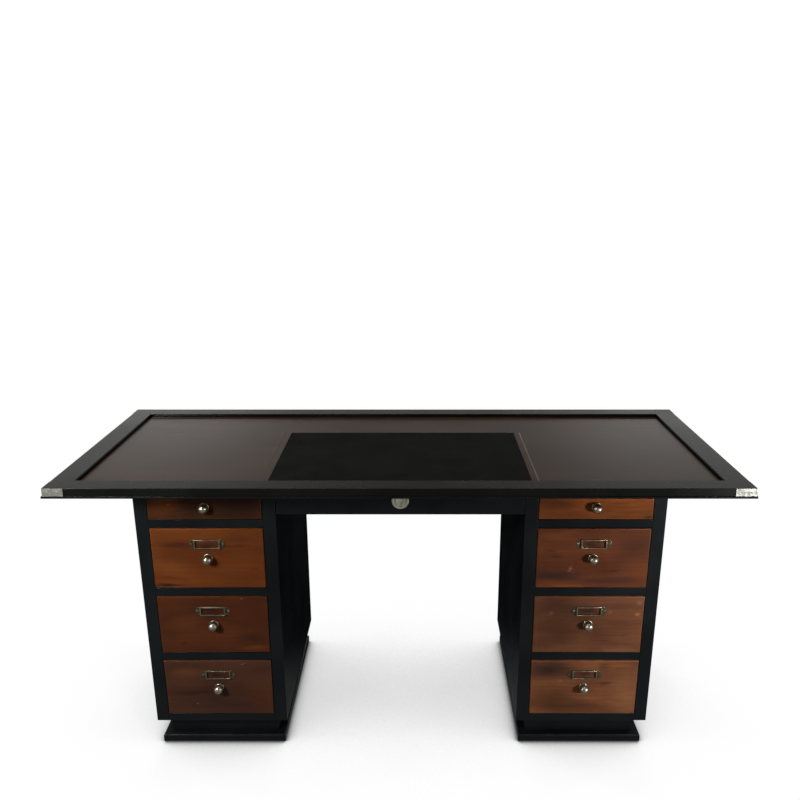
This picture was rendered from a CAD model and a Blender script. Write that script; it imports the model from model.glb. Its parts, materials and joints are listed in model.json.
# %% [markdown]
# # Dressing a double-pedestal desk
#
# This lesson dresses the construction model of a wide writing desk: a framed wood and leather top,
# two black pedestals with wood-fronted drawers, turned knobs, label holders and a ring pull. The
# construction model already has every board at its real size and place, so nothing here decides
# where a piece goes. What is left to make is what the eye sees: eased edges, turned and cast
# fittings, and the finish of each surface. Lengths are metres, +Z is up and the drawers open
# towards -Y.

import json
import math
import random

import bmesh
import bpy
from bmesh.types import BMEdge, BMFace, BMVert
from mathutils import Matrix, Vector


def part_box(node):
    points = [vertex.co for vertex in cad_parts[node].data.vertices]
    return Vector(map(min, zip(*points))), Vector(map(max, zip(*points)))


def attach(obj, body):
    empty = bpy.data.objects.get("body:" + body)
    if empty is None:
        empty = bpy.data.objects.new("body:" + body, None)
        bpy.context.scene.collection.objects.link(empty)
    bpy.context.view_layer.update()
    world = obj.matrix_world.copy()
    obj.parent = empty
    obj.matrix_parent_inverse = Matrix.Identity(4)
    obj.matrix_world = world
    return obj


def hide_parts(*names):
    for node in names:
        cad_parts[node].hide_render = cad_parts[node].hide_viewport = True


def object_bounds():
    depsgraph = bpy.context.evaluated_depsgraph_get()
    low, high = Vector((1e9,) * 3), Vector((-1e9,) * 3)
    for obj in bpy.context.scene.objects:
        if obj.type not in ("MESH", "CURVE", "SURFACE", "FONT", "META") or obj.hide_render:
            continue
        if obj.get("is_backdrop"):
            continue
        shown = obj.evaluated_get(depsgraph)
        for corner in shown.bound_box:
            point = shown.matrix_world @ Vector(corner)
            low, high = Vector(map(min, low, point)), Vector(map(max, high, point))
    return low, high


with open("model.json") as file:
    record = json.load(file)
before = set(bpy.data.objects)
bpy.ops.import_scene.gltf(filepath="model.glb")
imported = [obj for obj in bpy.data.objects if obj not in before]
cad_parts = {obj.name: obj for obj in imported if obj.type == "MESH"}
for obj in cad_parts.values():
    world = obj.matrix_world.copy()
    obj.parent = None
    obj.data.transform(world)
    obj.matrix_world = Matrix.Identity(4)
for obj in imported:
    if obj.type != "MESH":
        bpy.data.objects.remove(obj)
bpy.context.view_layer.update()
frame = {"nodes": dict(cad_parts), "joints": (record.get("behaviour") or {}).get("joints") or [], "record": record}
MM = 0.001
SIDES = ("left", "right")
DRAWERS = [f"{side}_drawer_{row}" for side in SIDES for row in (1, 2, 3, 4)]
DEEP_DRAWERS = [drawer for drawer in DRAWERS if not drawer.endswith("_1")]

# %% [markdown]
# ## The camera
#
# The camera stands in front of the desk at a tall person's eye level and looks slightly down. It
# could be aimed by eye, but a desk is full of straight edges, so its height, distance and tilt were
# worked out from where the top's corners and the pedestals' upright edges lie in the picture. The
# small shift stands for a picture that was cropped after it was taken.

# %% Camera
CAMERA_PLACE = (0.0395, -2.2861, 1.4719)
CAMERA_TILT_DOWN = math.radians(18.943)
CAMERA_LENS = 38.43
CAMERA_SHIFT = (-0.020, 0.0952)

camera_data = bpy.data.cameras.new("camera")
camera_data.sensor_width = 36.0
camera_data.lens = CAMERA_LENS
camera_data.shift_x, camera_data.shift_y = CAMERA_SHIFT
camera_data.dof.use_dof = False
camera = bpy.data.objects.new("camera", camera_data)
camera.location = CAMERA_PLACE
camera.rotation_euler = (math.radians(90) - CAMERA_TILT_DOWN, 0, 0)
bpy.context.scene.collection.objects.link(camera)
bpy.context.scene.camera = camera
bpy.context.scene.view_settings.view_transform = "Standard"
print("camera looks down by", round(math.degrees(CAMERA_TILT_DOWN), 1), "degrees")

# %% [markdown]
# ## Shorthand for shader nodes
#
# Every finish below is a small tree of nodes. Written out in full, each node takes five lines, so
# these helpers make a node, set it up and plug it in with one call. A value that is itself a socket
# is linked, and any other value is typed into the socket.


# %% Node helpers
def put(tree, kind, sockets, **settings):
    node = tree.nodes.new("ShaderNode" + kind)
    for name, value in settings.items():
        setattr(node, name, value)
    for key, value in sockets.items():
        if isinstance(value, bpy.types.NodeSocket):
            tree.links.new(value, node.inputs[key])
        else:
            node.inputs[key].default_value = value
    return node


def reckon(tree, operation, first, second):
    return put(tree, "Math", {0: first, 1: second}, operation=operation).outputs["Value"]


def fit(tree, value, low, high, to_low=0.0, to_high=1.0):
    sockets = {"Value": value, "From Min": low, "From Max": high, "To Min": to_low, "To Max": to_high}
    return put(tree, "MapRange", sockets, interpolation_type="SMOOTHSTEP").outputs["Result"]


def times(tree, first, second):
    return reckon(tree, "MULTIPLY", first, second)


def stretched(tree, vector, scale, shift=(0, 0, 0)):
    return put(tree, "Mapping", {"Vector": vector, "Scale": scale, "Location": shift}).outputs["Vector"]


def noise(tree, vector, scale, detail, seed=0.0):
    sockets = {"Vector": vector, "W": seed, "Scale": scale, "Detail": detail}
    return put(tree, "TexNoise", sockets, noise_dimensions="4D").outputs["Fac"]


def mixed(tree, factor, first, second, mode="MIX"):
    node = put(tree, "Mix", {0: factor, 6: first, 7: second}, data_type="RGBA", blend_type=mode)
    return node.outputs[2]


def object_place(tree):
    return put(tree, "TexCoord", {}).outputs["Object"]


def attribute(tree, name, output="Fac"):
    return put(tree, "Attribute", {}, attribute_name=name).outputs[output]


def parts_of(tree, vector):
    return put(tree, "SeparateXYZ", {"Vector": vector}).outputs


def pushed(tree, vector, **pushes):
    """The vector, moved by a push along each axis that is named"""
    push = put(tree, "CombineXYZ", pushes).outputs["Vector"]
    return put(tree, "VectorMath", {0: vector, 1: push}, operation="ADD").outputs["Vector"]


def dress(tree, shader, tint, roughness):
    tree.links.new(tint, shader.inputs["Base Color"])
    tree.links.new(roughness, shader.inputs["Roughness"])


def bumped(tree, shader, height, strength, distance, under=None):
    sockets = {"Height": height, "Strength": strength, "Distance": distance}
    if under is not None:
        sockets["Normal"] = under
    normal = put(tree, "Bump", sockets).outputs["Normal"]
    tree.links.new(normal, shader.inputs["Normal"])
    return normal


def colour(red, green, blue):
    return (red, green, blue, 1.0)


def new_material(name, **constants):
    """A material with its tree and shader. The constants are typed into the shader's own sockets."""
    material = bpy.data.materials.new(name)
    material.use_nodes = True
    shader = material.node_tree.nodes["Principled BSDF"]
    for key, value in constants.items():
        shader.inputs[key.replace("_", " ")].default_value = value
    return material, material.node_tree, shader


print("node helpers ready")

# %% [markdown]
# ## Floor, backdrop and lamps
#
# The desk stands on a plain white sweep. A white floor that is lit until it clips would also flood
# the desk with light, and black lacquer would mirror it and turn grey. So the camera sees a floor
# with a white glow, and every other ray meets a dull one that gets darker behind the desk. Polished
# metal should still mirror some white, so glossy rays find a weak glow in front of the desk. The
# camera's glow is dimmed by ambient occlusion, once over a short reach for the dark line where the
# plinths touch down, and once over a long reach for the wide soft shadow under the desk.


# %% Floor
FLOOR_SIZE = 60.0
CONTACT_REACH = 0.07
CONTACT_DARK = 0.10
CONTACT_RANGE = (0.40, 0.95)
SHELTER_REACH = 0.75
SHELTER_DARK = 0.62
SHELTER_RANGE = (0.35, 0.80)
FLOOR_NEAR = colour(0.11, 0.12, 0.13)
FLOOR_FAR = colour(0.010, 0.010, 0.010)
FLOOR_FADE = (0.10, 0.75)
FLOOR_MIRRORED = (0.24, 0.0)
MIRRORED_FADE = (-0.55, 0.30)


def openness(tree, reach, covered, darkest):
    """1 where nothing stands near, down to the darkest value in a corner"""
    light = put(tree, "AmbientOcclusion", {"Distance": reach}, samples=8).outputs["AO"]
    return fit(tree, light, *covered, darkest, 1.0)


def make_floor():
    material, tree, shader = new_material("white_sweep")
    tree.nodes.remove(shader)
    light = openness(tree, CONTACT_REACH, CONTACT_RANGE, CONTACT_DARK)
    shelter = openness(tree, SHELTER_REACH, SHELTER_RANGE, SHELTER_DARK)
    white = put(tree, "Emission", {"Strength": times(tree, light, shelter)})
    behind = parts_of(tree, object_place(tree))["Y"]
    tone = mixed(tree, fit(tree, behind, *FLOOR_FADE), FLOOR_NEAR, FLOOR_FAR)
    dull = put(tree, "BsdfDiffuse", {"Color": tone})
    ray = put(tree, "LightPath", {}).outputs
    glow = fit(tree, behind, *MIRRORED_FADE, *FLOOR_MIRRORED)
    mirrored = put(tree, "Emission", {"Strength": times(tree, glow, ray["Is Glossy Ray"])})
    others = put(tree, "AddShader", {0: dull.outputs[0], 1: mirrored.outputs[0]})
    both = put(tree, "MixShader", {0: ray["Is Camera Ray"], 1: others.outputs[0], 2: white.outputs[0]})
    tree.links.new(both.outputs[0], tree.nodes["Material Output"].inputs["Surface"])
    bm = bmesh.new()
    bmesh.ops.create_grid(bm, x_segments=1, y_segments=1, size=FLOOR_SIZE / 2)
    mesh = bpy.data.meshes.new("floor")
    bm.to_mesh(mesh)
    bm.free()
    mesh.materials.append(material)
    floor = bpy.data.objects.new("floor", mesh)
    bpy.context.scene.collection.objects.link(floor)
    floor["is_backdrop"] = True


make_floor()
print("floor", FLOOR_SIZE, "m wide")

# %% [markdown]
# Above the horizon the room is white only as far up as the picture shows it, and dimmer over that,
# as in a studio whose pale backdrop ends above the frame. The lacquered top mirrors the dim part,
# which is why it looks dark although the backdrop is white. The side walls are a little brighter
# than the wall behind the desk, most of all low in the corners, and the back corners of the top pick
# that up. Behind the camera there is no backdrop. A studio is dark there, and that keeps the knobs'
# shadows deep.

# %% Room
BACKDROP_TOP = (0.165, 0.220)
ROOM_MIDDLE = 0.105
ROOM_SIDES = 0.20
SIDE_REACH = (0.02, 0.30)
CORNER_GLOW = 0.85
CORNER_REACH = (0.10, 0.26)
CORNER_HEIGHT = (0.29, 0.245)
ROOM_FILL = 0.4
FRONT_WALL = (0.45, 0.05)
MIDDLE_TINT = colour(1.0, 0.88, 0.74)
SIDE_TINT = colour(0.99, 0.985, 0.96)


def make_room():
    world = bpy.data.worlds.new("studio")
    world.use_nodes = True
    bpy.context.scene.world = world
    tree = world.node_tree
    background = tree.nodes["Background"]
    direction = put(tree, "TexCoord", {}).outputs["Generated"]
    parts = parts_of(tree, direction)
    ray = put(tree, "LightPath", {}).outputs
    low = fit(tree, parts["Z"], BACKDROP_TOP[1], BACKDROP_TOP[0])
    behind = fit(tree, parts["Y"], -0.1, 0.1)
    front = fit(tree, ray["Is Diffuse Ray"], 0.0, 1.0, *FRONT_WALL)
    backdrop = times(tree, low, reckon(tree, "MAXIMUM", behind, front))
    white = reckon(tree, "MAXIMUM", backdrop, ray["Is Camera Ray"])
    sideways = reckon(tree, "ABSOLUTE", parts["X"], 0.0)
    dim = fit(tree, sideways, *SIDE_REACH, ROOM_MIDDLE, ROOM_SIDES)
    low_in = fit(tree, parts["Z"], *CORNER_HEIGHT)
    corner = times(tree, fit(tree, sideways, *CORNER_REACH), low_in)
    dim = reckon(tree, "ADD", dim, times(tree, corner, CORNER_GLOW))
    dim = times(tree, dim, fit(tree, ray["Is Diffuse Ray"], 0.0, 1.0, 1.0, ROOM_FILL))
    tint = mixed(tree, fit(tree, sideways, *SIDE_REACH), MIDDLE_TINT, SIDE_TINT)
    tint = mixed(tree, white, tint, colour(1, 1, 1))
    tree.links.new(tint, background.inputs["Color"])
    tree.links.new(reckon(tree, "MAXIMUM", white, dim), background.inputs["Strength"])


make_room()
print("room: white up to", round(math.degrees(math.asin(BACKDROP_TOP[0])), 1), "degrees")

# %% [markdown]
# Two small soft boxes stand to the left and right of the camera, each close to its own pedestal, so
# every knob throws a distinct shadow towards the kneehole. Each is turned outward and has a grid,
# which Blender calls spread, so that it hardly reaches the other pedestal and fills its shadows.
# The left box is high, and the overhanging top shades the drawers under it. The right one is low and
# reaches under the top. A wide box overhead lights the top.


# %% Lamps
def soft_box(name, place, target, size, power, spread=180):
    data = bpy.data.lights.new(name, "AREA")
    data.shape = "RECTANGLE"
    data.size, data.size_y = size
    data.energy = power
    data.spread = math.radians(spread)
    lamp = bpy.data.objects.new(name, data)
    lamp.location = place
    lamp.rotation_euler = (Vector(target) - Vector(place)).to_track_quat("-Z", "Y").to_euler()
    lamp.visible_camera = False
    bpy.context.scene.collection.objects.link(lamp)
    print(name, power, "W")


soft_box("left_box", (-1.50, -1.60, 1.50), (-0.55, -0.20, 0.40), (0.32, 0.32), 7.0, 66)
soft_box("right_box", (1.64, -1.42, 0.62), (0.66, -0.20, 0.42), (0.32, 0.32), 5.2, 66)
soft_box("overhead_box", (0.0, -0.6, 3.2), (0.0, 0.0, 0.7), (2.6, 1.4), 40)

# %% [markdown]
# ## Black lacquer
#
# The carcass, plinths and borders are sprayed with satin black lacquer. It is nearly black, slightly
# blue, and shows what it mirrors more than its own colour. A flat black would look like a hole, so
# the tree adds what sprayed wood has: slow clouds from rubbing down, a fine orange peel, a trace of
# dust, and edges that are rubbed a little lighter.

# %% Lacquer
CARCASS_BLACKS = (colour(0.0018, 0.0026, 0.0030), colour(0.0034, 0.0046, 0.0054))
TOP_BLACKS = (colour(0.0026, 0.0026, 0.0027), colour(0.0044, 0.0044, 0.0045))
BLACK_RUBBED = colour(0.016, 0.017, 0.018)
LACQUER_SHEEN = 0.15
CLOUDS, SCUFFS, ORANGE_PEEL, DUST = 7.0, 34.0, 260.0, 900.0
PEEL_DEPTH = 0.4 * MM
DUST_STRENGTH, RUBBED_STRENGTH = 0.5, 0.3


def lacquer(name, blacks, rough_low, rough_high):
    """Black lacquer. The four scales say how many clouds, scuffs, pits and specks lie in a metre."""
    material, tree, shader = new_material(name, Specular_IOR_Level=LACQUER_SHEEN)
    place = object_place(tree)
    cloud = noise(tree, place, CLOUDS, 3.0)
    dust = noise(tree, place, DUST, 1.0)
    peel = noise(tree, place, ORANGE_PEEL, 1.0)
    tone = mixed(tree, fit(tree, cloud, 0.35, 0.70), *blacks)
    tone = mixed(tree, fit(tree, dust, 0.72, 0.80, 0.0, DUST_STRENGTH), tone, BLACK_RUBBED)
    scuffs = fit(tree, noise(tree, place, SCUFFS, 4.0), 0.40, 0.75)
    rubbed = times(tree, attribute(tree, "worn"), scuffs)
    tone = mixed(tree, times(tree, rubbed, RUBBED_STRENGTH), tone, BLACK_RUBBED)
    dress(tree, shader, tone, fit(tree, cloud, 0.25, 0.75, rough_low, rough_high))
    bumped(tree, shader, peel, 0.08, PEEL_DEPTH)
    return material


carcass_lacquer = lacquer("black_lacquer_carcass", CARCASS_BLACKS, 0.30, 0.42)
top_lacquer = lacquer("black_lacquer_top", TOP_BLACKS, 0.22, 0.30)
print("two lacquers, sheen", LACQUER_SHEEN)

# %% [markdown]
# ## Wood
#
# A photograph of veneer would show one flat picture of grain. Here the wood is solid instead: growth
# rings are cylinders round the tree's heart, and a board is a cut through them. Each board carries an
# attribute named grain, its own position with x along the fibres, so end grain and face grain come
# out right and two boards never match. Fibres and pores are the same noise, stretched along x.
#
# The marks are the few streaks, flecks and knots that a maker would know a board by. Each is an oval
# in millimetres from the middle of the board: x, y, half length, half height, kind and strength. A
# noise frays its outline along the fibres, because a clean oval would look painted on.

# %% Wood
HEART_OF_TREE = (0.0, 0.10, -0.055)
RING_SCALE = 30.0
# Lumps in a metre, along the fibres and across them
BENDS, TONES, FIBRES = (3.0, 9.0), (5.0, 14.0), (8.0, 330.0)
PORES, FRAYS = (60.0, 1300.0), (16.0, 110.0)
RING_STRENGTH, FIBRE_STRENGTH, PORE_STRENGTH = 0.20, 0.28, 0.55
FIBRE_WANDER = 30 * MM
MARK_SWAY = 22 * MM
FIBRE_DEPTH = 0.5 * MM
MARK_TONES = {
    "dark": colour(0.012, 0.0055, 0.0035),
    "grey": colour(0.020, 0.0110, 0.0095),
    "red": colour(0.070, 0.0120, 0.0050),
    "pale": colour(0.26, 0.125, 0.055),
    "gold": colour(0.17, 0.058, 0.014),
}


def mark_strength(tree, place, x, y, half_long, half_high, strength):
    scale = (1 / (half_long * MM), 1 / (half_high * MM), 0.0)
    local = stretched(tree, place, scale, (-x / half_long, -y / half_high, 0.0))
    away = put(tree, "VectorMath", {0: local}, operation="LENGTH").outputs["Value"]
    return times(tree, fit(tree, away, 1.0, 0.0), strength)


def along_fibres(tree, place, lumps, detail, seed):
    along, across = lumps
    return noise(tree, stretched(tree, place, (along, across, across)), 1.0, detail, seed)


def swayed(tree, field, reach):
    return times(tree, reckon(tree, "SUBTRACT", field, 0.5), reach)


def wood(
    name, light, dark, seed, marks=(), rough=(0.34, 0.50), sheen=0.07, relief=0.22, by_object=False
):
    material, tree, shader = new_material(name, Specular_IOR_Level=sheen)
    place = object_place(tree) if by_object else attribute(tree, "grain", "Vector")
    drift = swayed(tree, along_fibres(tree, place, BENDS, 3.0, seed), FIBRE_WANDER)
    bent = pushed(tree, place, Y=drift, Z=drift)

    heart = stretched(tree, bent, (0.30, 1.0, 1.0), HEART_OF_TREE)
    ring_shape = {"Scale": RING_SCALE, "Distortion": 2.2, "Detail": 3.0, "Detail Scale": 1.6}
    rings = put(tree, "TexWave", {"Vector": heart, **ring_shape}, wave_type="RINGS", rings_direction="X")
    tone = along_fibres(tree, bent, TONES, 4.0, seed + 3.0)
    fibre = along_fibres(tree, bent, FIBRES, 3.0, seed + 5.0)
    pores = fit(tree, along_fibres(tree, bent, PORES, 1.0, seed), 0.66, 0.78)

    tint = mixed(tree, fit(tree, tone, 0.30, 0.70), dark, light)
    tint = mixed(tree, times(tree, rings.outputs["Fac"], RING_STRENGTH), tint, dark)
    tint = mixed(tree, fit(tree, fibre, 0.42, 0.72, 0.0, FIBRE_STRENGTH), tint, dark)
    if marks:
        sway = swayed(tree, along_fibres(tree, bent, FRAYS, 4.0, seed + 9.0), MARK_SWAY)
        ragged = pushed(tree, bent, X=times(tree, sway, 3.0), Y=sway)
        for *oval, kind, strength in marks:
            tint = mixed(tree, mark_strength(tree, ragged, *oval, strength), tint, MARK_TONES[kind])
    tint = mixed(tree, times(tree, pores, PORE_STRENGTH), tint, MARK_TONES["dark"])
    rubbed = times(tree, attribute(tree, "worn"), fit(tree, fibre, 0.35, 0.65, 0.05, 0.45))
    tint = mixed(tree, rubbed, tint, light)
    dress(tree, shader, tint, fit(tree, fibre, 0.3, 0.7, *rough))
    height = reckon(tree, "SUBTRACT", fibre, times(tree, pores, 1.5))
    bumped(tree, shader, height, relief, FIBRE_DEPTH)
    return material, tree, shader, tint


print("wood: growth rings about", round(314 / RING_SCALE, 1), "mm apart")

# %% [markdown]
# The eight drawer fronts come from different planks. On the left pedestal they run from a warm
# orange brown to a dark red brown, and the right pedestal's are all lighter. The tones and marks of
# each are written here once, and every front gets its own material from them. Old wax and dirt sit
# in the window of every label holder, so that mark is added to each of the deep fronts.

# %% Drawer front woods
SEED_STEP = 7.3
HOLDER_DIRT = (0, 41, 38, 18, "dark", 0.75)
FRONT_WOODS = {
    "left_drawer_1": (colour(0.080, 0.0230, 0.0052), colour(0.030, 0.0100, 0.0034), [
        (85, -4, 130, 70, "dark", 0.88), (-35, -4, 62, 46, "dark", 0.78), (-100, 22, 56, 14, "gold", 0.62),
        (-62, -9, 50, 3, "dark", 0.40), (-60, -24, 110, 16, "dark", 0.45), (-93, 6, 3, 3, "pale", 0.5),
    ]),
    "left_drawer_2": (colour(0.114, 0.0315, 0.0068), colour(0.062, 0.0158, 0.0040), [
        (-80, 40, 62, 14, "dark", 0.50), (66, 40, 62, 6, "dark", 0.50), (84, 57, 62, 9, "grey", 0.45),
        (-105, -74, 70, 7, "dark", 0.90), (120, -29, 24, 3, "dark", 0.45),
        (-100, -25, 80, 34, "gold", 0.22), (-42, 4, 34, 3, "red", 0.60), (60, -40, 100, 40, "dark", 0.16),
        (-100, -54, 60, 4, "dark", 0.40),
    ]),
    "left_drawer_3": (colour(0.060, 0.0170, 0.0054), colour(0.034, 0.0098, 0.0042), [
        (98, -40, 50, 26, "dark", 0.50), (40, 38, 80, 30, "red", 0.30), (103, -68, 54, 8, "gold", 0.20),
        (74, 75, 5, 4, "pale", 0.30), (-78, -51, 12, 7, "dark", 0.45), (-70, 10, 80, 30, "gold", 0.12),
        (-120, -30, 40, 30, "dark", 0.30),
    ]),
    "left_drawer_4": (colour(0.058, 0.0225, 0.0105), colour(0.031, 0.0122, 0.0076), [
        (-63, -18, 110, 8, "dark", 0.55), (-10, -56, 190, 46, "grey", 0.55),
        (112, -30, 60, 60, "red", 0.30), (-60, -51, 6, 5, "pale", 0.35), (70, 76, 5, 4, "pale", 0.35),
        (-80, 48, 70, 24, "gold", 0.20),
    ]),
    "right_drawer_1": (colour(0.212, 0.0580, 0.0120), colour(0.090, 0.0250, 0.0066), [
        (-95, 8, 70, 20, "dark", 0.35), (136, -28, 18, 5, "dark", 0.80), (60, 12, 90, 4, "dark", 0.30),
        (70, -2, 80, 3, "dark", 0.30), (40, -20, 120, 7, "gold", 0.35), (-60, -20, 80, 3, "red", 0.35),
    ]),
    "right_drawer_2": (colour(0.106, 0.0312, 0.0112), colour(0.052, 0.0155, 0.0074), [
        (-92, -50, 115, 23, "grey", 0.85), (45, -66, 120, 17, "grey", 0.60),
        (62, -35, 80, 4, "dark", 0.45), (104, 34, 80, 46, "grey", 0.50), (-52, -30, 5, 20, "pale", 0.42),
        (-46, -16, 8, 14, "red", 0.60), (-106, 22, 20, 8, "dark", 0.50), (-94, 6, 46, 4, "dark", 0.45),
        (-60, -80, 80, 5, "gold", 0.45), (-95, 62, 90, 26, "gold", 0.35),
    ]),
    "right_drawer_3": (colour(0.116, 0.0440, 0.0188), colour(0.058, 0.0212, 0.0115), [
        (70, -30, 70, 4, "dark", 0.45), (40, -44, 60, 3, "dark", 0.45), (95, -52, 50, 3, "dark", 0.40),
        (-60, 52, 130, 36, "grey", 0.45), (84, 56, 95, 16, "grey", 0.40), (126, 31, 12, 11, "pale", 0.45),
        (132, 66, 16, 14, "pale", 0.28), (50, 37, 8, 6, "pale", 0.35), (-106, 28, 7, 12, "pale", 0.30),
        (92, -72, 90, 15, "pale", 0.22), (-10, 16, 40, 12, "dark", 0.30), (-80, 0, 110, 110, "dark", 0.48),
    ]),
    "right_drawer_4": (colour(0.154, 0.0570, 0.0228), colour(0.066, 0.0238, 0.0120), [
        (-96, 52, 112, 44, "grey", 0.92), (-32, -60, 150, 14, "dark", 0.28), (66, 13, 26, 8, "dark", 0.60),
        (50, 62, 28, 30, "grey", 0.45), (98, 66, 46, 14, "gold", 0.55), (-59, 18, 7, 6, "pale", 0.45),
        (-70, 14, 60, 10, "gold", 0.40), (115, -20, 60, 110, "pale", 0.24),
        (-90, -50, 90, 30, "gold", 0.22), (-20, -6, 60, 14, "red", 0.25),
        (-80, -40, 110, 80, "dark", 0.55),
    ]),
}
front_materials = {}
for number, (drawer, (light, dark, marks)) in enumerate(FRONT_WOODS.items(), start=1):
    dirt = [HOLDER_DIRT] if drawer in DEEP_DRAWERS else []
    front_materials[drawer] = wood("wood_" + drawer, light, dark, SEED_STEP * number, marks + dirt)[0]
print(len(front_materials), "drawer front woods")

# %% [markdown]
# The inside of the drawers is plain pale wood that nobody stained. The two thin lines beside the
# leather are a pale inlay. The right one still shows, and the left one has darkened like the panel.
#
# The panel of the top is dark, brown and polished. It is one wide board, so it can read its place
# from Object coordinates. It lies in the border with a narrow gap round it, where no light comes
# out. The gap is too narrow to be worth cutting, so the finish turns black and dull along the rim.

# %% Other woods
GAP_WIDTH = 3.5 * MM
GAP_BLACK = colour(0.001, 0.001, 0.001)
PANEL_TONES = (colour(0.032, 0.0145, 0.0080), colour(0.017, 0.0075, 0.0040))
PANEL_SHEEN = 0.22
LINE_TONES = (colour(0.24, 0.215, 0.170), colour(0.120, 0.105, 0.080))
LINE_DARKENED = colour(0.034, 0.019, 0.011)
BOX_TONES = (colour(0.56, 0.40, 0.24), colour(0.40, 0.26, 0.14))


def rim_of(tree, half_x, half_y, width):
    """1 in a strip of that width along the edges of a board that is centred on the origin"""
    parts = parts_of(tree, object_place(tree))
    strips = []
    for axis, half in (("X", half_x), ("Y", half_y)):
        away = reckon(tree, "ABSOLUTE", parts[axis], 0.0)
        strips.append(fit(tree, away, half - 1.15 * width, half - 0.85 * width))
    return reckon(tree, "MAXIMUM", *strips)


def panel_finish():
    panel_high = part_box("top_panel")[1]
    polish = {"rough": (0.19, 0.27), "sheen": PANEL_SHEEN, "relief": 0.05}
    material, tree, shader, tint = wood("panel_wood", *PANEL_TONES, 83.0, by_object=True, **polish)
    gap = rim_of(tree, panel_high.x, panel_high.y, GAP_WIDTH)
    tree.links.new(mixed(tree, gap, tint, GAP_BLACK), shader.inputs["Base Color"])
    sheen = fit(tree, gap, 0.0, 1.0, PANEL_SHEEN, 0.0)
    tree.links.new(sheen, shader.inputs["Specular IOR Level"])
    return material


def line_finish():
    rough = (0.30, 0.40)
    material, tree, shader, tint = wood("pale_line", *LINE_TONES, 97.0, rough=rough, by_object=True)
    right = fit(tree, parts_of(tree, object_place(tree))["X"], -0.1, 0.1)
    tree.links.new(mixed(tree, right, LINE_DARKENED, tint), shader.inputs["Base Color"])
    return material


panel_wood = panel_finish()
line_wood = line_finish()
box_wood = wood("box_wood", *BOX_TONES, 61.0, rough=(0.55, 0.70))[0]
print("box, panel and inlay woods")

# %% [markdown]
# ## Leather
#
# The writing surface is thin black leather with a fine printed grain. Its cells could be painted as
# a picture, but a Voronoi texture has the same packed, uneven pebbles and works at any size. The
# valleys between the pebbles are what bump and roughness need, and a slow noise adds rubbed patches.

# %% Leather
PEBBLE_SIZE = 1.3 * MM
CREASE_DEPTH, FINE_DEPTH = 0.3 * MM, 0.2 * MM
RUBBED_PATCHES, FINE_GRAIN = 9.0, 2600.0
LEATHER_BLACKS = (colour(0.0034, 0.0034, 0.0031), colour(0.0044, 0.0043, 0.0039))
CREASE_BLACK = colour(0.002, 0.002, 0.002)


def leather(name):
    material, tree, shader = new_material(name, Specular_IOR_Level=0.02)
    place = object_place(tree)
    sockets = {"Vector": place, "Scale": 1 / PEBBLE_SIZE, "Randomness": 0.9}
    pebble = put(tree, "TexVoronoi", sockets, feature="DISTANCE_TO_EDGE").outputs["Distance"]
    rubbed = noise(tree, place, RUBBED_PATCHES, 4.0)
    tone = mixed(tree, fit(tree, rubbed, 0.35, 0.70), *LEATHER_BLACKS)
    tone = mixed(tree, fit(tree, pebble, 0.10, 0.0, 0.0, 0.6), tone, CREASE_BLACK)
    dress(tree, shader, tone, fit(tree, rubbed, 0.3, 0.7, 0.63, 0.56))
    creases = bumped(tree, shader, fit(tree, pebble, 0.02, 0.28), 0.35, CREASE_DEPTH)
    bumped(tree, shader, noise(tree, place, FINE_GRAIN, 2.0), 0.12, FINE_DEPTH, under=creases)
    return material


black_leather = leather("black_leather")
print("leather pebbles", round(PEBBLE_SIZE / MM, 1), "mm")

# %% [markdown]
# ## Metals
#
# The knobs are nickel, the label holders are antique brass, the corner plates are paler, worn brass,
# the ring pull is the palest brass, and the hidden screws are steel. All of them are the same recipe
# with other colours: tarnish gathers in a cloudy pattern, edges that hands and cloths reach are
# polished brighter, and fine scratches run every way. Tarnish is duller as well as darker, so one
# noise drives colour and roughness together. Where cloths never reach, it has turned nearly black.
# Such faces are marked as sheltered.

# %% Metals
SHELTERED_METAL = colour(0.028, 0.024, 0.018)
TARNISH_COVER = (0.40, 0.68)
TARNISH_CLOUDS, TARNISH_SPECKS = 85.0, 620.0
SCRATCHES = (300.0, 300.0, 3800.0)
SPECK_SHARE, WORN_SHARE, SHELTERED_SHARE = 0.15, 0.8, 0.6
SCRATCH_DEPTH = 0.2 * MM


def metal(name, bright, tarnished, rough_bright, rough_tarnished, seed):
    material, tree, shader = new_material(name, Metallic=1.0)
    place = object_place(tree)
    cloud = noise(tree, place, TARNISH_CLOUDS, 5.0, seed)
    speck = noise(tree, place, TARNISH_SPECKS, 3.0, seed + 1.0)
    tarnish = fit(tree, reckon(tree, "ADD", cloud, times(tree, speck, SPECK_SHARE)), *TARNISH_COVER)
    unworn = reckon(tree, "SUBTRACT", 1.0, times(tree, attribute(tree, "worn"), WORN_SHARE))
    tarnish = times(tree, tarnish, unworn)
    tint = mixed(tree, tarnish, bright, tarnished)
    hollow = times(tree, attribute(tree, "sheltered"), SHELTERED_SHARE)
    tint = mixed(tree, hollow, tint, SHELTERED_METAL)
    dress(tree, shader, tint, fit(tree, tarnish, 0.0, 1.0, rough_bright, rough_tarnished))
    scratch = noise(tree, stretched(tree, place, SCRATCHES), 1.0, 2.0, seed)
    bumped(tree, shader, scratch, 0.05, SCRATCH_DEPTH)
    return material


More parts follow.
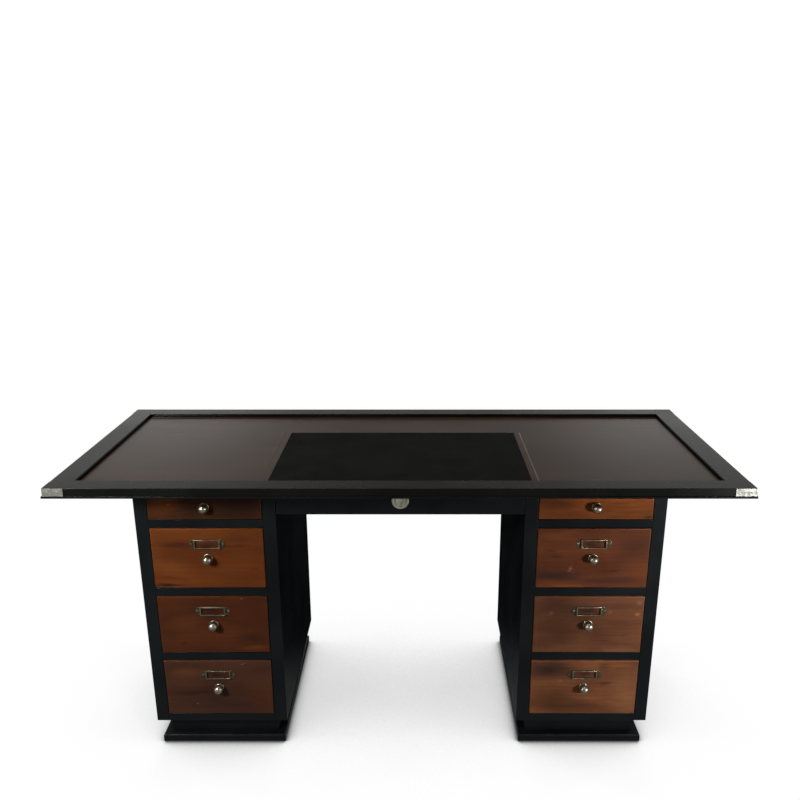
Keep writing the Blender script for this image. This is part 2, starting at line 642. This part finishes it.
nickel = metal("nickel", colour(0.42, 0.375, 0.30), colour(0.21, 0.182, 0.140), 0.27, 0.38, 3.0)
aged_brass = metal("aged_brass", colour(0.26, 0.23, 0.16), colour(0.10, 0.088, 0.060), 0.34, 0.50, 5.0)
plate_brass = metal("plate_brass", colour(0.33, 0.33, 0.305), colour(0.19, 0.192, 0.165), 0.46, 0.60, 9.0)
pull_brass = metal("pull_brass", colour(0.50, 0.49, 0.41), colour(0.36, 0.36, 0.28), 0.50, 0.62, 13.0)
steel = metal("steel_screws", colour(0.50, 0.49, 0.47), colour(0.25, 0.25, 0.24), 0.28, 0.45, 11.0)
print("five metals")

# %% [markdown]
# ## From construction solids to boards
#
# A construction node can hold several boards, such as the four of a drawer box. Reading them apart
# gives the lowest and highest corner of each, and those are all that a straight board needs. The
# node's own mesh is loose triangles, so a copy is welded first, and each group of joined corners is
# then one solid.


# %% Solids in a node
WELD = 0.01 * MM


def solids_in(node):
    bm = bmesh.new()
    bm.from_mesh(frame["nodes"][node].data)
    bmesh.ops.remove_doubles(bm, verts=bm.verts, dist=WELD)
    solids, seen = [], set()
    for start in bm.verts:
        if start in seen:
            continue
        group, queue = [], [start]
        seen.add(start)
        while queue:
            corner = queue.pop()
            group.append(corner.co.copy())
            for edge in corner.link_edges:
                other = edge.other_vert(corner)
                if other not in seen:
                    seen.add(other)
                    queue.append(other)
        low = Vector([min(point[axis] for point in group) for axis in range(3)])
        high = Vector([max(point[axis] for point in group) for axis in range(3)])
        solids.append((low, high))
    bm.free()
    return sorted(solids, key=lambda solid: [round(value, 4) for value in solid[0]])


print("a drawer box has", len(solids_in("left_drawer_2_box")), "boards")

# %% [markdown]
# ## Boards with eased edges
#
# No joiner leaves an edge sharp: a plane or sandpaper eases it, and that narrow round is where light
# catches. A cube scaled between two corners and bevelled gives exactly this. The large faces stay
# flat shaded and only the bevel is smooth, so flat wood stays flat. The bevel's faces are also
# marked in an attribute named worn, which the finishes use to rub them lighter.

# %% Board helpers
PLANK_CUTS = ((0, 5), (-0.04, 0.04), (-0.02, 0.02))


def new_mesh():
    bm = bmesh.new()
    bm.verts.layers.float_vector.new("grain")
    bm.loops.layers.float.new("worn")
    bm.loops.layers.float.new("sheltered")
    return bm


def mark_faces(bm, faces, name):
    layer = bm.loops.layers.float[name]
    for face in faces:
        for loop in face.loops:
            loop[layer] = 1.0


def ease(bm, edges, width, segments=3):
    made = bmesh.ops.bevel(
        bm, geom=list(edges), offset=width, offset_type="OFFSET", segments=segments,
        profile=0.5, affect="EDGES", clamp_overlap=True, material=-1,
    )
    mark_faces(bm, made["faces"], "worn")
    for face in made["faces"]:
        face.smooth = True


def edges_of(verts):
    return {edge for vert in verts for edge in vert.link_edges}


def faces_of(verts):
    return {face for vert in verts for face in vert.link_faces}


def edges_among(verts):
    """The edges with both ends in a set of corners"""
    return [edge for edge in edges_of(verts) if verts.issuperset(edge.verts)]


def new_since(bm, known):
    return [vert for vert in bm.verts if vert not in known]


def of_kind(parts, kind):
    return [part for part in parts if isinstance(part, kind)]


def pulled_up(bm, faces, rise):
    """Pulls flat faces up into a solid and gives the corners of its raised side"""
    raised = of_kind(bmesh.ops.extrude_face_region(bm, geom=faces)["geom"], BMVert)
    bmesh.ops.translate(bm, verts=raised, vec=(0, 0, rise))
    return raised


def prism(bm, plan, bottom, top):
    """Pulls a plan up from one height to another. Returns the plan's corners, then all corners."""
    known = set(bm.verts)
    corners = [bm.verts.new((x, y, bottom)) for x, y in plan]
    pulled_up(bm, [bm.faces.new(corners)], top - bottom)
    return corners, new_since(bm, known)


def block(bm, low, high):
    """Eight corners of a plain block"""
    matrix = Matrix.LocRotScale((low + high) / 2, None, high - low)
    return bmesh.ops.create_cube(bm, size=1.0, matrix=matrix)["verts"]


def lay_grain(bm, verts, low, high, shift, along=None):
    """Writes each corner's place on its board, with x along the fibres and z through the board"""
    size, middle = high - low, (low + high) / 2
    if along is None:
        along = max(range(3), key=lambda axis: size[axis])
    across = sorted((axis for axis in range(3) if axis != along), key=lambda axis: -size[axis])
    layer = bm.verts.layers.float_vector["grain"]
    for vert in verts:
        away = vert.co - middle
        vert[layer] = Vector((away[along], away[across[0]], away[across[1]])) + shift


def board(bm, low, high, arris, chance):
    """An eased board, cut from its own place in the tree: along it, across it and towards the heart"""
    known = set(bm.verts)
    ease(bm, edges_of(block(bm, low, high)), arris)
    shift = Vector([chance.uniform(*reach) for reach in PLANK_CUTS])
    lay_grain(bm, new_since(bm, known), low, high, shift)


print("board helpers ready")

# %% [markdown]
# A finished mesh becomes a piece of the desk in one place. Its normals are recalculated, folds
# sharper than 40 degrees are kept crisp, and it then rides on the same body as the construction
# node that it stands for. Each piece reports its faces and the edges that don't join two of them.
# Only pieces with screw heads have such edges, for the reason given there.

# %% Finish a piece
CRISP = math.radians(40)
node_body = {node: body for body, nodes in frame["record"]["behaviour"]["bodies"].items() for node in nodes}


def finish_piece(bm, material, node):
    bmesh.ops.recalc_face_normals(bm, faces=bm.faces)
    for edge in bm.edges:
        if len(edge.link_faces) == 2 and edge.calc_face_angle() > CRISP:
            edge.smooth = False
    odd_edges = sum(1 for edge in bm.edges if len(edge.link_faces) != 2)
    mesh = bpy.data.meshes.new(node + "_finished")
    bm.to_mesh(mesh)
    bm.free()
    mesh.materials.append(material)
    piece = bpy.data.objects.new(node + "_finished", mesh)
    bpy.context.scene.collection.objects.link(piece)
    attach(piece, node_body[node])
    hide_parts(node)
    print(node, len(mesh.polygons), "faces,", odd_edges, "edges that don't join two")


def boards_from(node, material, arris, seed):
    """Stands for a node whose solids are all straight boards"""
    bm, chance = new_mesh(), random.Random(seed)
    for low, high in solids_in(node):
        board(bm, low, high, arris, chance)
    finish_piece(bm, material, node)


# %% [markdown]
# ## Pedestals
#
# Each pedestal is a lacquered box: two sides, a back, a bottom and a top board, with a face frame of
# stiles and rails in front. The joint between the frame and the sides shows as a hair line, which
# comes by itself when every board is eased. Inside it, pale strips carry the drawers.

# %% Carcass, frame and strips
CARCASS_ARRIS = 0.7 * MM
STRIP_ARRIS = 0.5 * MM
for number, side in enumerate(SIDES):
    for part in ("outer_side", "inner_side", "back_panel", "boards", "face_frame"):
        boards_from(f"{side}_{part}", carcass_lacquer, CARCASS_ARRIS, number)
    boards_from(f"{side}_runners", box_wood, STRIP_ARRIS, 20 + number)
boards_from("back_apron", carcass_lacquer, CARCASS_ARRIS, 2)
boards_from("centre_runners", box_wood, STRIP_ARRIS, 30)

# %% [markdown]
# ## Plinths
#
# A pedestal stands on a recessed neck and a thicker floor plate. The plate's long edges are rounded
# over, top and bottom, with its upright corners left square, as a router leaves them when it only
# follows the horizontal edges. So the bevel takes just the edges that lie flat.

# %% Plinths
PLATE_ROUND = 5 * MM
PLATE_HEIGHT_LIMIT = 40 * MM


def plinth(node, seed):
    bm, chance = new_mesh(), random.Random(seed)
    for low, high in solids_in(node):
        if high.z > PLATE_HEIGHT_LIMIT:
            board(bm, low, high, CARCASS_ARRIS, chance)
            continue
        edges = edges_of(block(bm, low, high))
        level = [edge for edge in edges if abs(edge.verts[0].co.z - edge.verts[1].co.z) < WELD]
        ease(bm, level, PLATE_ROUND, segments=5)
    finish_piece(bm, carcass_lacquer, node)


for number, side in enumerate(SIDES):
    plinth(f"{side}_plinth", 40 + number)

# %% [markdown]
# ## The top
#
# Four lacquered boards, mitred at the corners, frame the wood panel and stand a little proud of it.
# Underneath, a thin base board shows as a lip. A mitred board is drawn as its plan, four corners,
# and pulled up to its thickness. Only the edges along the board are rounded: the mitres meet tight
# on the real top and would open if they were eased.

# %% Base board and border
BORDER_ROUND = 1.0 * MM
LIP_ARRIS = 0.5 * MM
PARALLEL = 0.99
border_low, border_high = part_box("top_border_front")
BORDER_WIDTH = border_high.y - border_low.y
OUTER_X, OUTER_Y = border_high.x, -border_low.y
INNER_X, INNER_Y = OUTER_X - BORDER_WIDTH, OUTER_Y - BORDER_WIDTH


def mitred_board(bm, plan):
    """A board of the border's thickness over a plan, with the edges along it rounded"""
    corners, fresh = prism(bm, plan, border_low.z, border_high.z)
    along = (corners[1].co - corners[0].co).normalized()
    long_edges = [
        edge for edge in edges_of(fresh)
        if abs((edge.verts[1].co - edge.verts[0].co).normalized().dot(along)) > PARALLEL
    ]
    ease(bm, long_edges, BORDER_ROUND, segments=4)


boards_from("top_base_board", top_lacquer, LIP_ARRIS, 50)
for node, sign in (("top_border_front", -1), ("top_border_back", 1)):
    bm = new_mesh()
    outer, inner = sign * OUTER_Y, sign * INNER_Y
    mitred_board(bm, [(-OUTER_X, outer), (OUTER_X, outer), (INNER_X, inner), (-INNER_X, inner)])
    finish_piece(bm, top_lacquer, node)
bm = new_mesh()
for sign in (-1, 1):
    outer, inner = sign * OUTER_X, sign * INNER_X
    mitred_board(bm, [(outer, -OUTER_Y), (outer, OUTER_Y), (inner, INNER_Y), (inner, -INNER_Y)])
finish_piece(bm, top_lacquer, "top_border_ends")

# %% [markdown]
# The panel, the inlaid lines and the hidden fixing screws keep their construction solids, where the
# pocket and grooves are cut already, and only get their finish. The leather is a thin sheet in its
# pocket. Its edge is pared and turned down, so it gets a wider round than a board so thin would.

# %% Panel, inlay and leather
LEATHER_ARRIS = 0.8 * MM
KEPT_SOLIDS = {"top_panel": panel_wood, "leather_stringing": line_wood, "top_fixing_screws": steel}
for node, finish in KEPT_SOLIDS.items():
    frame["nodes"][node].data.materials.clear()
    frame["nodes"][node].data.materials.append(finish)
    print(node, "keeps its solid and gets", finish.name)
boards_from("writing_leather", black_leather, LEATHER_ARRIS, 55)

# %% [markdown]
# ## Turned parts
#
# Knobs, screw heads, the pull plate and its ring are all round, so each is a half outline spun about
# an axis, the way a lathe makes it. Points are (radius, height) along local +Z, and a matrix then
# turns that axis to where the part faces.


# %% Lathe
def arc(centre, radius, start, end, steps):
    """Points on an arc about (radius, height) centre, from one angle in degrees to another"""
    turns = [math.radians(start + (end - start) * step / steps) for step in range(steps + 1)]
    return [(centre[0] + radius * math.cos(turn), centre[1] + radius * math.sin(turn)) for turn in turns]


def facing(place, direction, spin=0.0):
    """Matrix that takes local +Z to a direction, at a place, after a turn about its own axis"""
    turn = Vector(direction).to_track_quat("Z", "Y").to_matrix().to_4x4()
    return Matrix.Translation(place) @ turn @ Matrix.Rotation(spin, 4, "Z")


def turned(bm, outline, matrix, steps, closed=False):
    """Spins a half outline into a round solid and puts it where the matrix says"""
    known = set(bm.verts)
    points = [bm.verts.new((radius, 0.0, height)) for radius, height in outline]
    pairs = list(zip(points, points[1:])) + ([(points[-1], points[0])] if closed else [])
    line = [bm.edges.new(pair) for pair in pairs]
    bmesh.ops.spin(
        bm, geom=points + line, cent=(0, 0, 0), axis=(0, 0, 1), angle=math.tau,
        steps=steps, use_merge=True,
    )
    bmesh.ops.remove_doubles(bm, verts=new_since(bm, known), dist=WELD / 10)
    fresh = new_since(bm, known)
    for face in faces_of(fresh):
        face.smooth = True
    bmesh.ops.transform(bm, matrix=matrix, verts=fresh)


OUT, IN, UP = (0, -1, 0), (0, 1, 0), (0, 0, 1)
print("lathe ready")

# %% [markdown]
# A round-head screw is a low dome with a slot. Two parallel cuts cross the dome, and a copy of the
# strip between them is pushed in. A known fault: the extrusion gets the strip's faces without their
# edges, and then it keeps the dome's own faces, which cover the slot. With the edges passed as well,
# the slot would be open. Screws never line up, so each one gets its own turn from a seeded random
# number.

# %% Slotted screws
HALF_SLOT = 0.17
RIM_HEIGHT, SLOT_FLOOR = 0.25, 0.45
STRIP_REACH, STRIP_FROM = 0.9, 0.3


def slotted_head(bm, radius, height, place, direction, chance):
    """
    A head at a place, facing a direction. HALF_SLOT is a share of the radius, STRIP_REACH of the
    half slot, and the other three are shares of the height.
    """
    known = set(bm.verts)
    dome = [(0, 0), (radius, 0)] + [
        (radius * across, height * (RIM_HEIGHT + (1 - RIM_HEIGHT) * up))
        for across, up in arc((0, 0), 1, 0, 90, 6)
    ]
    turned(bm, dome, Matrix.Identity(4), steps=24)
    half_slot = HALF_SLOT * radius
    for side in (-half_slot, half_slot):
        verts = new_since(bm, known)
        parts = verts + list(edges_of(verts)) + list(faces_of(verts))
        bmesh.ops.bisect_plane(bm, geom=parts, plane_co=(side, 0, 0), plane_no=(1, 0, 0), dist=WELD / 100)
    strip = []
    for face in faces_of(new_since(bm, known)):
        middle = face.calc_center_median()
        if abs(middle.x) < half_slot * STRIP_REACH and middle.z > height * STRIP_FROM:
            strip.append(face)
    pushed_in = bmesh.ops.extrude_face_region(bm, geom=strip)["geom"]
    for vert in of_kind(pushed_in, BMVert):
        vert.co.z = min(vert.co.z, height * SLOT_FLOOR)
    matrix = facing(place, direction, chance.uniform(0, math.pi))
    bmesh.ops.transform(bm, matrix=matrix, verts=new_since(bm, known))


print("screw heads ready")

# %% [markdown]
# ## Corner plates
#
# Thin brass angles wrap the corners of the border, held by two small screws on each leg. Each is an
# L-shaped plan pulled up to the border's height, a little lower than the border's rounded arris. The
# outer corner is bent metal, so it gets a true round, and the rest is only deburred.

# %% Corner plates
PLATE_BEND = 1.6 * MM
PLATE_DEBURR = 0.25 * MM
PLATE_DROP = 0.3 * MM
PLATE_SCREW = (2.5 * MM, 0.6 * MM)


def corner_plate(bm, low, high):
    """One angle round a corner of the border, inside the box of its solid"""
    outer = Vector([max(pair, key=abs) for pair in zip(low.xy, high.xy)])
    inner = Vector([min(pair, key=abs) for pair in zip(low.xy, high.xy)])
    sheet = abs(outer.x) - OUTER_X
    back = outer - Vector([math.copysign(sheet, value) for value in outer])
    plan = [
        (outer.x, outer.y), (outer.x, inner.y), (back.x, inner.y),
        (back.x, back.y), (inner.x, back.y), (inner.x, outer.y),
    ]
    known = set(bm.verts)
    fresh = prism(bm, plan, low.z, high.z - PLATE_DROP)[1]
    bend = [
        edge for edge in edges_of(fresh)
        if all((vert.co.xy - outer).length < WELD for vert in edge.verts)
    ]
    ease(bm, bend, PLATE_BEND, segments=4)
    sharp = [edge for edge in edges_of(new_since(bm, known)) if edge.calc_face_angle(0) > CRISP]
    ease(bm, sharp, PLATE_DEBURR, segments=2)


def corner_screw(bm, low, high, chance):
    """A slotted head at the outer end of a screw's solid, which is longest along its own axis"""
    size, middle = high - low, (low + high) / 2
    axis = 0 if size.x > size.y else 1
    direction = Vector()
    direction[axis] = math.copysign(1, middle[axis])
    seat = middle + direction * (size[axis] / 2 - PLATE_SCREW[1])
    slotted_head(bm, *PLATE_SCREW, seat, direction, chance)


bm = new_mesh()
for low, high in solids_in("corner_plates"):
    corner_plate(bm, low, high)
finish_piece(bm, plate_brass, "corner_plates")
bm, chance = new_mesh(), random.Random(60)
for low, high in solids_in("corner_screws"):
    corner_screw(bm, low, high, chance)
finish_piece(bm, plate_brass, "corner_screws")

# %% [markdown]
# ## Drawer boxes
#
# Behind each front are two sides, a back and a bottom of pale wood. They hardly show until a drawer
# is pulled out, and then their grain should run along each board, which the board helper sees to.

# %% Drawer boxes
BOX_ARRIS = 1.0 * MM
for number, drawer in enumerate(DRAWERS):
    boards_from(drawer + "_box", box_wood, BOX_ARRIS, 70 + number)
boards_from("centre_drawer_box", box_wood, BOX_ARRIS, 80)

# %% [markdown]
# ## Drawer fronts
#
# The fronts are solid wood boards with a soft round on the face's four edges. The round is wide
# enough to need five segments. The back edges are only eased, and both are picked by how far
# forward they lie. The grain runs across every front, so the same coordinates serve for the marks.
#
# The centre drawer's front has a round pocket for its pull plate. The face is taken out and filled
# again between its edges and a circle, then the circle is pushed in and closed.

# %% Drawer fronts
FRONT_ROUND = 3.0 * MM
FRONT_BACK_ARRIS = 0.5 * MM
POCKET_ROOM = 0.1 * MM


def loop_of(bm, points):
    """A closed loop of edges through points of any dimension"""
    verts = [bm.verts.new(point) for point in points]
    return [bm.edges.new((verts[index - 1], verts[index])) for index in range(len(verts))]


def round_pocket(bm, face_y, plate):
    """Opens a pocket in the board's face that takes the plate of that box"""
    plate_low, plate_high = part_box(plate)
    middle = (plate_low + plate_high) / 2
    radius = (plate_high.x - plate_low.x) / 2 + POCKET_ROOM
    sheet = min(bm.faces, key=lambda face: face.calc_center_median().y)
    edges = list(sheet.edges)
    bmesh.ops.delete(bm, geom=[sheet], context="FACES_ONLY")
    circle = arc((middle.x, middle.z), radius, 0, 352.5, 47)
    ring = loop_of(bm, [(across, face_y, up) for across, up in circle])
    bmesh.ops.triangle_fill(bm, use_beauty=True, edges=edges + ring)
    wall = bmesh.ops.extrude_edge_only(bm, edges=ring)["geom"]
    bmesh.ops.translate(bm, verts=of_kind(wall, BMVert), vec=(0, plate_high.y - face_y, 0))
    bottom = [edge for edge in of_kind(wall, BMEdge) if edge.is_boundary]
    bmesh.ops.contextual_create(bm, geom=bottom)


def edges_at(edges, y):
    return [edge for edge in edges if all(abs(vert.co.y - y) < WELD for vert in edge.verts)]


def drawer_front(node, material, rounding, plate=None):
    bm = new_mesh()
    low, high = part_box(node)
    edges = edges_of(block(bm, low, high))
    face, rear = edges_at(edges, low.y), edges_at(edges, high.y)
    ease(bm, face, rounding, segments=5)
    ease(bm, rear, FRONT_BACK_ARRIS, segments=2)
    if plate is not None:
        round_pocket(bm, low.y, plate)
    lay_grain(bm, bm.verts, low, high, Vector(), along=0)
    finish_piece(bm, material, node)


for drawer in DRAWERS:
    drawer_front(drawer + "_front", front_materials[drawer], FRONT_ROUND)
drawer_front("centre_drawer_front", carcass_lacquer, CARCASS_ARRIS, plate="pull_plate")

# %% [markdown]
# ## Knobs
#
# Each knob is a ball with its back cut flat, close to a round rose on the wood. One outline holds it
# all: the rose with its rounded rim, the short neck that leaves a dark groove, the flat back of the
# ball with its edge broken, and then the arc of the ball. Behind the front sits the head of the
# screw that holds it.

# %% Knobs
BALL_RADIUS = 12.5 * MM
BALL_OUT = 11.5 * MM
BALL_BACK = 4.5 * MM
ROSE_RADIUS = 12.5 * MM
ROSE_THICK = 3 * MM
STEM_RADIUS = 4.5 * MM
BALL_EDGE, BALL_EDGE_TURN = 1.0 * MM, 3
KNOB_SCREW = (4.5 * MM, 2.5 * MM)


def knob_outline():
    rim = ROSE_THICK / 2
    start = math.degrees(math.asin((BALL_BACK - BALL_OUT) / BALL_RADIUS)) + BALL_EDGE_TURN
    ball = arc((0, BALL_OUT), BALL_RADIUS, start, 90, 26)
    return (
        [(0, 0)]
        + arc((ROSE_RADIUS - rim, rim), rim, -90, 90, 8)
        + [(STEM_RADIUS, ROSE_THICK), (STEM_RADIUS, BALL_BACK), (ball[0][0] - BALL_EDGE, BALL_BACK)]
        + ball
    )


def knob(drawer, chance):
    node = drawer + "_knob"
    bm = new_mesh()
    low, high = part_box(node)
    front_low, front_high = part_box(drawer + "_front")
    middle = (low + high) / 2
    turned(bm, knob_outline(), facing((middle.x, front_low.y, middle.z), OUT), steps=56)
    seat = (middle.x, front_high.y, middle.z)
    slotted_head(bm, *KNOB_SCREW, seat, IN, chance)
    finish_piece(bm, nickel, node)


chance = random.Random(90)
for drawer in DRAWERS:
    knob(drawer, chance)

# %% [markdown]
# ## Label holders
#
# A label holder is a cast brass frame with a round ear at each end. The frame is one rectangle, inset
# by the width of its bars, opened in the middle and pulled out of the wood, so its mitres stay true.
# An ear is a half disc pierced by three holes. Filling the gap between its outline and the holes
# with triangles is the quickest way to such a plate, and the screw head then covers the middle hole.

# %% Label holders
HOLDER_BAR = 3.0 * MM
HOLDER_ROUND = 0.7 * MM
EAR_THICK = 1.2 * MM
EAR_ROUND = 0.3 * MM
EAR_SHORT = 0.5 * MM
EAR_SCREW_OUT = 7.5 * MM
EAR_SCREW = (2.8 * MM, 1.2 * MM)
EAR_HOLES = (
    (EAR_SCREW_OUT, 0, 1.3 * MM),
    (4.0 * MM, 6.2 * MM, 1.5 * MM),
    (4.0 * MM, -6.2 * MM, 1.5 * MM),
)


def inside_window(face, width, height):
    middle = face.calc_center_median()
    return abs(middle.x) < width / 2 - WELD and abs(middle.y) < height / 2 - WELD


def holder_frame(bm, width, height, out):
    matrix = Matrix.Diagonal((width, height, 1, 1))
    made = bmesh.ops.create_grid(bm, x_segments=1, y_segments=1, size=0.5, matrix=matrix)
    window = made["verts"][0].link_faces[0]
    inset = {"thickness": HOLDER_BAR, "use_boundary": True, "use_even_offset": True}
    bars = bmesh.ops.inset_region(bm, faces=[window], **inset)["faces"]
    bmesh.ops.delete(bm, geom=[window], context="FACES")
    raised = set(pulled_up(bm, bars, out))
    straight = [
        edge for edge in edges_among(raised)
        if min(abs(edge.verts[0].co[axis] - edge.verts[1].co[axis]) for axis in (0, 1)) < WELD
    ]
    upright = [face for face in bm.faces if abs(face.normal.z) < 0.5]
    mark_faces(bm, [face for face in upright if inside_window(face, width, height)], "sheltered")
    ease(bm, straight, HOLDER_ROUND, segments=3)


def holder_ear(bm, start, reach, side):
    """A half disc with three holes, from the frame's end towards the side"""
    outline = [(side * (start + x), y, 0.0) for x, y in arc((0, 0), reach, -90, 90, 24)]
    edges = loop_of(bm, outline)
    for x, y, radius in EAR_HOLES:
        ring = arc((side * (start + x), y), radius, 0, 337.5, 15)
        edges += loop_of(bm, [(across, up, 0.0) for across, up in ring])
    filled = bmesh.ops.triangle_fill(bm, use_beauty=True, edges=edges)["geom"]
    raised = set(pulled_up(bm, of_kind(filled, BMFace), EAR_THICK))
    upper = [edge for edge in edges_among(raised) if edge.calc_face_angle(0) > CRISP]
    mark_faces(bm, faces_of(raised), "sheltered")
    ease(bm, upper, EAR_ROUND, segments=2)


def label_holder(drawer, chance):
    node = drawer + "_label_holder"
    bm = new_mesh()
    plate_low, plate_high = min(solids_in(node), key=lambda solid: solid[0].x - solid[1].x)
    reach = (plate_high.z - plate_low.z) / 2 - EAR_SHORT
    width = plate_high.x - plate_low.x - 2 * reach
    holder_frame(bm, width, plate_high.z - plate_low.z, plate_high.y - plate_low.y)
    for side in (-1, 1):
        holder_ear(bm, width / 2, reach, side)
        slotted_head(bm, *EAR_SCREW, (side * (width / 2 + EAR_SCREW_OUT), 0, EAR_THICK), UP, chance)
    middle = (plate_low + plate_high) / 2
    place = Matrix.Translation((middle.x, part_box(drawer + "_front")[0].y, middle.z))
    upright = Matrix.Rotation(math.radians(90), 4, "X")
    bmesh.ops.transform(bm, matrix=place @ upright, verts=bm.verts)
    finish_piece(bm, aged_brass, node)


chance = random.Random(100)
for drawer in DEEP_DRAWERS:
    label_holder(drawer, chance)

# %% [markdown]
# ## Ring pull
#
# The centre drawer opens by a flush ring: a round brass plate let into the wood, dished so that a
# fingertip gets behind the ring. The plate is turned, with its rim rounded and a hollow sweep down
# to the floor of the dish. The ring is a full torus with a short neck and a barrel that turns
# between two lugs.

# %% Ring pull
RIM_ROUND = 0.7 * MM
PULL_RIM = 4.2 * MM
DISH_DEPTH = 4.2 * MM
DISH_FILLET = 1.6 * MM
LUG_RADIUS = 1.7 * MM
WIRE_RADIUS = 1.5 * MM
RING_RADIUS = 11.0 * MM
BARREL_LENGTH = 7.6 * MM
LUG_START = 4.0 * MM
LUG_WIDTH = 2.2 * MM
NECK_RADIUS = 1.2 * MM
PIVOT_RADIUS = 1.0 * MM
PIVOT_REACH = 5.9 * MM
LUG_ARRIS = 0.15 * MM
ROD_ROUND, THIN_ROD_ROUND = 0.3 * MM, 0.2 * MM

hinge = [joint for joint in frame["joints"] if joint["name"] == "pull_ring_hinge"][0]
hinge_place = Vector(hinge["pos_m"])
plate_low, plate_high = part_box("pull_plate")
ring_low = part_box("pull_ring")[0]
PLATE_RADIUS = (plate_high.x - plate_low.x) / 2
PLATE_THICK = plate_high.y - plate_low.y
DISH_RADIUS = PLATE_RADIUS - PULL_RIM
ring_middle = Vector((0, hinge_place.y, ring_low.z + WIRE_RADIUS + RING_RADIUS))


def rod(bm, start, end, radius, round_end=ROD_ROUND):
    """A plain rod with softened ends"""
    start, end = Vector(start), Vector(end)
    length = (end - start).length
    outline = (
        [(0, 0)] + arc((radius - round_end, round_end), round_end, -90, 0, 3)
        + arc((radius - round_end, length - round_end), round_end, 0, 90, 3) + [(0, length)]
    )
    turned(bm, outline, facing(start, end - start), steps=28)


def pull_plate():
    bm = new_mesh()
    floor = PLATE_THICK - DISH_DEPTH
    outline = (
        [(0, 0), (PLATE_RADIUS, 0)]
        + arc((PLATE_RADIUS - RIM_ROUND, PLATE_THICK - RIM_ROUND), RIM_ROUND, 0, 90, 4)
        + arc((DISH_RADIUS + RIM_ROUND / 2, PLATE_THICK - RIM_ROUND / 2), RIM_ROUND / 2, 90, 180, 4)
        + arc((DISH_RADIUS - DISH_FILLET, floor + DISH_FILLET), DISH_FILLET, 0, -90, 6)
        + [(0, floor)]
    )
    middle = (plate_low + plate_high) / 2
    turned(bm, outline, facing((0, plate_high.y, middle.z), OUT), steps=72)
    dish_floor = plate_high.y - floor
    for sign in (-1, 1):
        near, far = sign * LUG_START, sign * (LUG_START + LUG_WIDTH)
        low = Vector((min(near, far), hinge_place.y, hinge_place.z - LUG_RADIUS))
        high = Vector((max(near, far), dish_floor + WELD, hinge_place.z + LUG_RADIUS))
        ease(bm, edges_of(block(bm, low, high)), LUG_ARRIS, segments=1)
        ends = [(x, hinge_place.y, hinge_place.z) for x in (near, far)]
        rod(bm, *ends, LUG_RADIUS, THIN_ROD_ROUND)
    finish_piece(bm, pull_brass, "pull_plate")


def pull_ring():
    bm = new_mesh()
    wire = arc((RING_RADIUS, 0), WIRE_RADIUS, 0, 345, 23)
    turned(bm, wire, facing(ring_middle, OUT), steps=72, closed=True)
    top = ring_middle + Vector((0, 0, RING_RADIUS))
    rod(bm, top, hinge_place, NECK_RADIUS)
    half = Vector((BARREL_LENGTH / 2, 0, 0))
    rod(bm, hinge_place - half, hinge_place + half, WIRE_RADIUS)
    reach = Vector((PIVOT_REACH, 0, 0))
    rod(bm, hinge_place - reach, hinge_place + reach, PIVOT_RADIUS, THIN_ROD_ROUND)
    finish_piece(bm, pull_brass, "pull_ring")


pull_plate()
pull_ring()

# %% [markdown]
# ## Check and hand over
#
# The dressed desk has to stay as large as the construction model. Both boxes go into one small file,
# so the two can be compared after every change.

# %% Compare the sizes
low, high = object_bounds()
print("dressed desk, metres:", [round(size, 3) for size in high - low])
